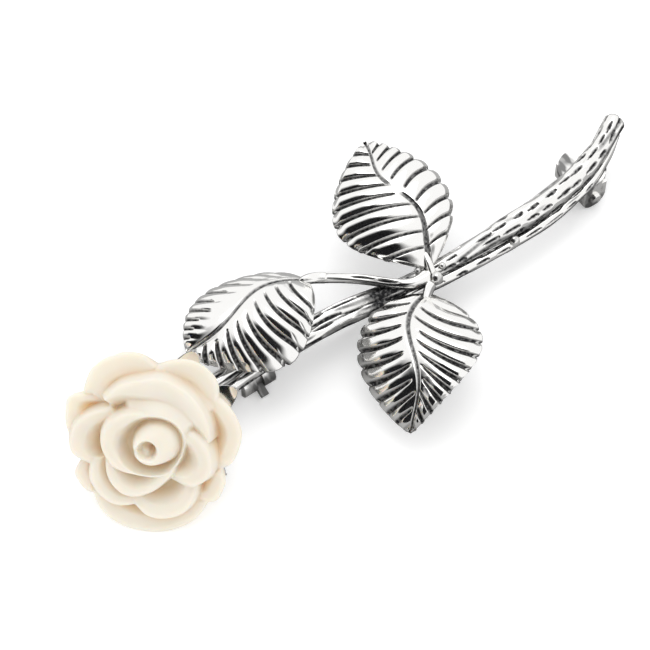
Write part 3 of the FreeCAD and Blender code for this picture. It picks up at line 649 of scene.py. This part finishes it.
def add_bud(height, radius, angle):
    """Sinks the ring and sets the bud in it: a rolled petal with a deep eye that opens at one side."""
    turn = angle / 360
    shoulder = spaced(BUD_SHOULDER, turn, closed=True)
    eye = spaced(BUD_LIP, turn, closed=True)
    ring = spaced(BUD_RING, turn, closed=True)
    well = RING_FLOOR + 2.4 * np.clip(radius - ring + 0.75, 0, None)
    height = np.where(radius < ring, np.minimum(height, well), height)
    crest = eye + 0.28
    crown = np.clip((radius - crest) / (shoulder - crest), 0, None)
    bud = BUD_TOP - 1.15 * crown**2 - 0.5 * np.clip(crown - 1, 0, None)
    bud = bud - 1.9 * np.clip(radius - shoulder, 0, None)
    bud = bud - 0.5 * np.clip((crest - radius) / 0.28, 0, 1) ** 2
    deep = BUD_TOP - EYE_DEEP + 0.62 * (1 - np.cos(np.radians(angle - EYE_DEEPEST)))
    wall = BUD_TOP - 0.5 - 5.0 * np.clip(eye - radius, 0, None)
    bud = np.where(radius < eye, np.maximum(wall, deep), bud)
    aside = (angle - EYE_OPENING + 180) % 360 - 180
    gap = np.exp(-((aside * np.radians(1) * radius / 0.3) ** 2)) * smoothstep(0.75, 1.15, radius)
    bud = bud - 0.55 * gap
    return np.where(radius < ring, np.maximum(height, bud), height)


def sample(side, field, x, y):
    """Bilinear reading of a square field."""
    i = np.clip((x - side[0]) / ROSE_STEP, 0, len(side) - 2.001)
    j = np.clip((y - side[0]) / ROSE_STEP, 0, len(side) - 2.001)
    i0, j0 = i.astype(int), j.astype(int)
    fi, fj = i - i0, j - j0
    return (
        field[i0, j0] * (1 - fi) * (1 - fj) + field[i0 + 1, j0] * fi * (1 - fj)
        + field[i0, j0 + 1] * (1 - fi) * fj + field[i0 + 1, j0 + 1] * fi * fj
    )


def rose_to_stations(own):
    """From the rose's own axes, turned the shortest way from upright, to the stations' axes."""
    up = unit(ROSE_AXIS)
    turn = Vector((0, 0, 1)).rotation_difference(Vector(up)).to_matrix()
    right, ahead = np.array(turn @ Vector((1, 0, 0))), np.array(turn @ Vector((0, 1, 0)))
    return ROSE_FOOT + own[..., :1] * right + own[..., 1:2] * ahead + own[..., 2:] * up


def silhouette(angle):
    """Distance of the outermost lip from the axis at each angle, in degrees."""
    edge = np.zeros_like(angle)
    for petal in PETALS:
        turned = (angle - petal["start"]) % 360
        rim = spaced(petal["rim"], np.clip(turned / petal["sweep"], 0, 1))
        edge = np.where(turned <= petal["sweep"], np.maximum(edge, rim), edge)
    return edge


def rose_piece(material):
    side, raw = rose_field()
    height = blur(raw, 0.1 / ROSE_STEP)
    hollows = blur(height, 0.9 / ROSE_STEP) - height
    angle = np.linspace(0, 360, ROSE_AROUND, endpoint=False)
    edge = silhouette(angle)
    tap = np.exp(-0.5 * (np.arange(-3, 4) / 1.2) ** 2)
    edge = sum(np.roll(edge, k - 3) * w for k, w in enumerate(tap / tap.sum()))
    cosine, sine = np.cos(np.radians(angle)), np.sin(np.radians(angle))
    share = np.linspace(0.004, 1, ROSE_RINGS)[:, None]
    reach = share * (edge[None, :] - 0.12)
    x, y = reach * cosine, reach * sine
    z = sample(side, height, x, y)
    hollow = np.clip(sample(side, hollows, x, y), 0, None)
    top = np.stack([x, y, z], -1)

    even = sum(np.roll(edge, k) for k in range(-24, 25)) / 49
    s = np.linspace(0, 1, WALL_RINGS + 1)[1:, None]
    turn = s * math.pi / 2
    bowl = np.cos(turn) ** 0.9
    lean = smoothstep(0.0, 0.45, s)
    outer = (edge * (1 - lean) + even * lean) * (0.045 + 0.955 * bowl)
    lip_z = z[-1]
    wall_z = lip_z * (1 - np.sin(turn) ** 1.15)
    outer = np.minimum(outer, BOWL_FOOT + BOWL_SLOPE * wall_z + 0.7 * smoothstep(0.3, 0.0, s))
    wall = np.stack([outer * cosine, outer * sine, wall_z], -1)
    own = np.concatenate([top, wall])
    rings = rose_to_stations(own)
    # Painted shade for the material: the carved hollows, and the bowl's wall more and more towards its foot.
    wall_shade = np.broadcast_to(0.12 + 0.3 * s, wall.shape[:2])
    recess_shade = np.concatenate([np.clip(hollow / 1.3, 0, 1) ** 0.9, wall_shade])
    piece = ring_solid("rose_petals", [(rings, {"recess": recess_shade})])
    finish_piece(piece, "brooch", "rose_head", material)


# ---------------------------------------------------------------- sepals

# Angle about the rose's axis in degrees, how far the point reaches from it, and how far it curls down.
SEPALS = (
    (-6, 10.5, 1.9), (29, 10.6, 1.9), (90, 9.3, 0.5), (141, 9.0, 0.2), (193, 8.6, 0.0), (244, 8.6, 0.0),
    (296, 8.6, 0.2),
)


def sepal_rings(facing, reach, curl):
    """One sepal: a bent, pointed leaf that hugs the bowl and curls out at its point."""
    rows, half_around = 70, 28
    s = np.linspace(0, 1, rows)
    bend = np.radians(86 - 74 * s)
    level = 5.9 - 6.5 * np.sin(bend)
    radial = np.minimum(9.75 * np.cos(bend), BOWL_FOOT + 0.1 + BOWL_SLOPE * level)
    radial = radial + (reach - radial[-1]) * smoothstep(0.72, 1.0, s)
    level = level - curl * smoothstep(0.7, 1.0, s) ** 1.5
    pointed = np.sin(math.pi * np.clip(0.12 + 0.88 * s, 0, 1) ** 1.25) ** 0.75
    wide = 2.9 * pointed * (0.45 + 0.55 * smoothstep(0, 0.45, s))
    across = np.linspace(-1, 1, half_around)
    across = np.concatenate([across, across[::-1]])
    outer = np.arange(len(across)) < half_around
    s_grid, t_grid = np.meshgrid(s, across, indexing="ij")
    thick = np.where(outer[None, :], 0.26, -0.06) * (1 - 0.75 * np.abs(t_grid) ** 3)
    rib = 0.14 * np.exp(-((t_grid * wide[:, None]) / 0.35) ** 2)
    waves = np.sin(38 * (s_grid - 0.35 * np.abs(t_grid)))
    thick = thick + np.where(outer[None, :], rib + 0.06 * waves * (1 - np.abs(t_grid)), 0)
    out = radial[:, None] + thick * np.cos(bend)[:, None]
    level = level[:, None] - thick * np.sin(bend)[:, None]
    turn = math.radians(facing) + t_grid * wide[:, None] / np.maximum(radial[:, None], 2.2)
    own = np.stack([out * np.cos(turn), out * np.sin(turn), level], -1)
    rings = rose_to_stations(own)
    furrow = 0.8 * smoothstep(-0.5, -1.0, waves) * smoothstep(0.1, 0.2, np.abs(t_grid))
    oxide_and_shade = np.where(outer[None, :], np.maximum(furrow, 0.5 * smoothstep(0.75, 1, np.abs(t_grid))), 0.05)
    return rings, {"oxide_and_shade": oxide_and_shade}


def sepals_piece(material):
    piece = ring_solid("curled_sepals", [sepal_rings(*sepal) for sepal in SEPALS])
    finish_piece(piece, "brooch", "sepal_star", material)


# ---------------------------------------------------------------- metal fittings that stay as packed


def dress_nodes(material, names):
    """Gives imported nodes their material."""
    for name in names:
        slots = frame["nodes"][name].data.materials
        slots.clear()
        slots.append(material)


# ---------------------------------------------------------------- studio

# The camera's direction in degrees, and the place it looks at, by the stations.
AZIMUTH = -35.2
ELEVATION = 57.0
DISTANCE = 300.0
LENS = 142.06
AIM = np.array([10.5, 0.44, 3.0])
# Which way the studio's dark side lies, and the cosines between which it fades in.
DARK_SIDE = (-0.735, -0.34, 0.587)
DARK_EDGE = (0.58, 0.78)


def studio_world():
    """White all round. Only reflections see the dark side, which lies behind the camera and to its left."""
    world = bpy.data.worlds.new("studio")
    bpy.context.scene.world = world
    world.use_nodes = True
    tree = world.node_tree
    ground = tree.nodes["Background"]
    place = add_node(tree, "ShaderNodeTexCoord").outputs["Generated"]
    toward = add_node(tree, "ShaderNodeVectorMath", {"operation": "DOT_PRODUCT"}, i0=place, i1=DARK_SIDE)
    dark = ranged(tree, toward.outputs["Value"], *DARK_EDGE, 0.0, 1.0)
    seen = mix_colour(tree, dark, (1.0, 1.0, 1.0), (0.004, 0.004, 0.005))
    glossy = add_node(tree, "ShaderNodeLightPath").outputs["Is Glossy Ray"]
    colour = mix_colour(tree, glossy, (1.0, 1.0, 1.0), seen)
    tree.links.new(colour, ground.inputs["Color"])
    ground.inputs["Strength"].default_value = 1.0


def area_light(name, place, size, power):
    """A soft box aimed at the brooch."""
    lamp = bpy.data.lights.new(name, "AREA")
    lamp.shape = "DISK"
    lamp.size = size
    lamp.energy = power
    light = bpy.data.objects.new(name, lamp)
    light.location = place
    light.rotation_euler = (-Vector(place)).to_track_quat("-Z", "Y").to_euler()
    bpy.context.scene.collection.objects.link(light)


def floor_sheet(name, half, level, colour, glow=0.0):
    """A level matt sheet that belongs to the studio."""
    mesh = bpy.data.meshes.new(name)
    corners = [(-half, -half, level), (half, -half, level), (half, half, level), (-half, half, level)]
    mesh.from_pydata(corners, [], [(0, 1, 2, 3)])
    sheet = bpy.data.objects.new(name, mesh)
    bpy.context.scene.collection.objects.link(sheet)
    material, _, shader = new_material(name)
    shader.inputs["Base Color"].default_value = (*colour, 1)
    shader.inputs["Roughness"].default_value = 0.9
    shader.inputs["Specular IOR Level"].default_value = 0.1
    shader.inputs["Emission Color"].default_value = (1, 1, 1, 1)
    shader.inputs["Emission Strength"].default_value = glow
    mesh.materials.append(material)
    return sheet


def dark_card():
    """A grey sheet on the table, which only reflections see."""
    card = floor_sheet("dark_card", 3.0, 0.00002, (0.4, 0.4, 0.4))
    card.visible_camera = False
    card.visible_diffuse = False
    card.visible_transmission = False
    card.visible_shadow = False


def camera_piece():
    azimuth, elevation = math.radians(AZIMUTH), math.radians(ELEVATION)
    level = math.cos(elevation)
    back = np.array([math.sin(azimuth) * level, -math.cos(azimuth) * level, math.sin(elevation)])
    lens = bpy.data.cameras.new("camera")
    lens.lens = LENS
    lens.sensor_width = 36.0
    lens.clip_start = 0.01
    camera = bpy.data.objects.new("camera", lens)
    aim = (AIM + TO_ROW) * MM
    camera.location = aim + DISTANCE * MM * back
    camera.rotation_euler = Vector(-back).to_track_quat("-Z", "Y").to_euler()
    bpy.context.scene.collection.objects.link(camera)
    bpy.context.scene.camera = camera


# ---------------------------------------------------------------- build

front_silver = silver_material("silver_front_oxide_and_painted_shade", 0.1)
fitting_silver = silver_material("fitting_silver", 0.16, tarnish=0.8)
bright_silver = silver_material("bead_silver", 0.12, tarnish=0.4)
pin_silver = silver_material("pin_silver", 0.12, tarnish=0.08)
for leaf_name in LEAVES:
    leaf_piece(leaf_name, front_silver)
for twig in TWIGS:
    twig_piece(*twig, front_silver)
rose_piece(rose_material())
sepals_piece(front_silver)
dress_nodes(
    fitting_silver,
    ("catch_base", "catch_case", "catch_tumbler", "hinge_saddle", "hinge_rivet", "rose_peg", "calyx_hip"),
)
dress_nodes(bright_silver, ("fork_beads", "twig_thorn"))
dress_nodes(pin_silver, ("pin_stem",))

studio_world()
floor_sheet("floor", 3.0, 0.0, (0.93, 0.93, 0.93), 0.26)
dark_card()
camera_piece()
area_light("top_box", (0.15, 0.25, 0.9), 0.7, 1.5)
bpy.context.scene.view_settings.view_transform = "Standard"
